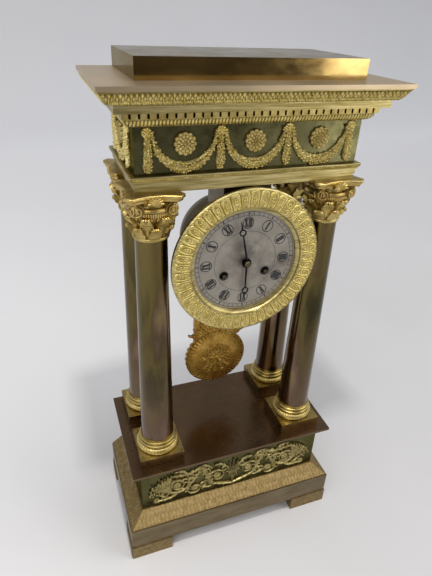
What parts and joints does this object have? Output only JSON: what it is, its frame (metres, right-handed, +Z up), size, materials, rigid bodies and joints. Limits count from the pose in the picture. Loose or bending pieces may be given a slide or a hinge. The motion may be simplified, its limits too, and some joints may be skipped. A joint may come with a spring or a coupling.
{
  "type": "portico clock",
  "caption": "Free-standing portico clock: a drum clock hung under an entablature on columns, with a pendulum swinging between them over a stepped base.",
  "frame": {"origin": "on the floor, under the middle of the footprint", "axes": "+Z up, +X to the right of someone who reads the dial, -Y the way the dial faces"},
  "size_m": [0.2302, 0.1226, 0.4802],
  "materials": {
    "gilt": "matt gilding, burnished on rings and edges",
    "patinated_brass": "polished brass with an olive and brown patina",
    "brass": "polished brass, aged",
    "dark_bronze": "dark brown patina, polished",
    "green_patina": "dark green patina",
    "silvered": "silvered, dulled with age",
    "blued_steel": "blued",
    "steel": "bright, oiled",
    "wood": "bare wood"
  },
  "bodies": {
    "case": {"feet": "gilt", "leaf_moulding": "gilt", "base_scroll_mount": "gilt", "architrave": "gilt", "frieze_swag_front": "gilt", "frieze_swag_sides": "gilt", "frieze_rosettes": "gilt", "egg_moulding": "gilt", "dentil_course": "gilt", "cornice": "gilt", "bezel": "gilt", "column_base_front_left": "gilt", "column_base_front_right": "gilt", "column_base_rear_left": "gilt", "column_base_rear_right": "gilt", "capital_front_left": "gilt", "capital_front_right": "gilt", "capital_rear_left": "gilt", "capital_rear_right": "gilt", "column_shaft_front_left": "patinated_brass", "column_shaft_front_right": "patinated_brass", "column_shaft_rear_left": "patinated_brass", "column_shaft_rear_right": "patinated_brass", "top_plate": "brass", "attic_block": "brass", "drum_case": "brass", "front_plate": "brass", "back_plate": "brass", "movement_pillars": "brass", "suspension_cock": "brass", "bell": "brass", "lower_slab": "dark_bronze", "base_plate": "dark_bronze", "drum_saddle": "dark_bronze", "base_die": "green_patina", "frieze": "green_patina", "dial": "silvered", "tie_rods": "steel", "tie_rod_nuts": "steel", "cover_hinge_pin": "steel", "bell_stand": "steel", "bottom_board": "wood"},
    "minute": {"minute_hand": "blued_steel", "hand_nut": "brass"},
    "hour": {"hour_hand": "blued_steel", "hour_wheel": "brass"},
    "centre": {"centre_wheel": "brass"},
    "third": {"third_wheel": "brass"},
    "escape": {"escape_wheel": "brass"},
    "going": {"going_barrel": "brass"},
    "strike": {"strike_barrel": "brass"},
    "wind_going": {"winding_arbor_going": "steel"},
    "wind_strike": {"winding_arbor_strike": "steel"},
    "pendulum": {"pendulum_rod": "brass", "pendulum_bob": "gilt", "pendulum_crest": "gilt"},
    "crutch": {"pallet_crutch": "steel"},
    "striker": {"hammer": "steel"},
    "cover": {"back_cover": "brass"}
  },
  "joints": [
    {"name": "minute_turn", "type": "hinge", "parent": "case", "child": "minute", "pos_m": [0, 0.0078, 0.3272], "axis": [0, 1, 0], "continuous": true},
    {"name": "hour_turn", "type": "hinge", "parent": "case", "child": "hour", "pos_m": [0, 0.0078, 0.3272], "axis": [0, 1, 0], "continuous": true},
    {"name": "escape_turn", "type": "hinge", "parent": "case", "child": "escape", "pos_m": [0, 0.0078, 0.3462], "axis": [0, 1, 0], "continuous": true},
    {"name": "third_turn", "type": "hinge", "parent": "case", "child": "third", "pos_m": [0.013, 0.0078, 0.3362], "axis": [0, 1, 0], "continuous": true},
    {"name": "centre_turn", "type": "hinge", "parent": "case", "child": "centre", "pos_m": [0, 0.0078, 0.3272], "axis": [0, 1, 0], "continuous": true},
    {"name": "going_barrel_turn", "type": "hinge", "parent": "case", "child": "going", "pos_m": [0.0187, 0.0078, 0.3162], "axis": [0, 1, 0], "continuous": true},
    {"name": "strike_barrel_turn", "type": "hinge", "parent": "case", "child": "strike", "pos_m": [-0.0187, 0.0078, 0.3162], "axis": [0, 1, 0], "continuous": true},
    {"name": "winding_going_turn", "type": "hinge", "parent": "case", "child": "wind_going", "pos_m": [0.0187, 0.0078, 0.3162], "axis": [0, 1, 0], "continuous": true},
    {"name": "winding_strike_turn", "type": "hinge", "parent": "case", "child": "wind_strike", "pos_m": [-0.0187, 0.0078, 0.3162], "axis": [0, 1, 0], "continuous": true},
    {"name": "pendulum_swing", "type": "hinge", "parent": "case", "child": "pendulum", "pos_m": [0, 0.0238, 0.3582], "axis": [0, 1, 0], "range_deg": [-5, 5]},
    {"name": "crutch_swing", "type": "hinge", "parent": "case", "child": "crutch", "pos_m": [0, 0.0158, 0.3582], "axis": [0, 1, 0], "range_deg": [-5, 5]},
    {"name": "hammer_lift", "type": "hinge", "parent": "case", "child": "striker", "pos_m": [-0.024, 0.0138, 0.3412], "axis": [0, -1, 0], "range_deg": [0, 20]},
    {"name": "cover_open", "type": "hinge", "parent": "case", "child": "cover", "pos_m": [0.0463, 0.01215, 0.3272], "axis": [0, 0, -1], "range_deg": [0, 55]}
  ],
  "couplings": [
    {"joint": "hour_turn", "follows": "minute_turn", "ratio": 0.083333},
    {"joint": "third_turn", "follows": "escape_turn", "ratio": -0.083333},
    {"joint": "centre_turn", "follows": "escape_turn", "ratio": 0.0069444},
    {"joint": "going_barrel_turn", "follows": "escape_turn", "ratio": -0.00099206},
    {"joint": "crutch_swing", "follows": "pendulum_swing", "ratio": 1}
  ]
}
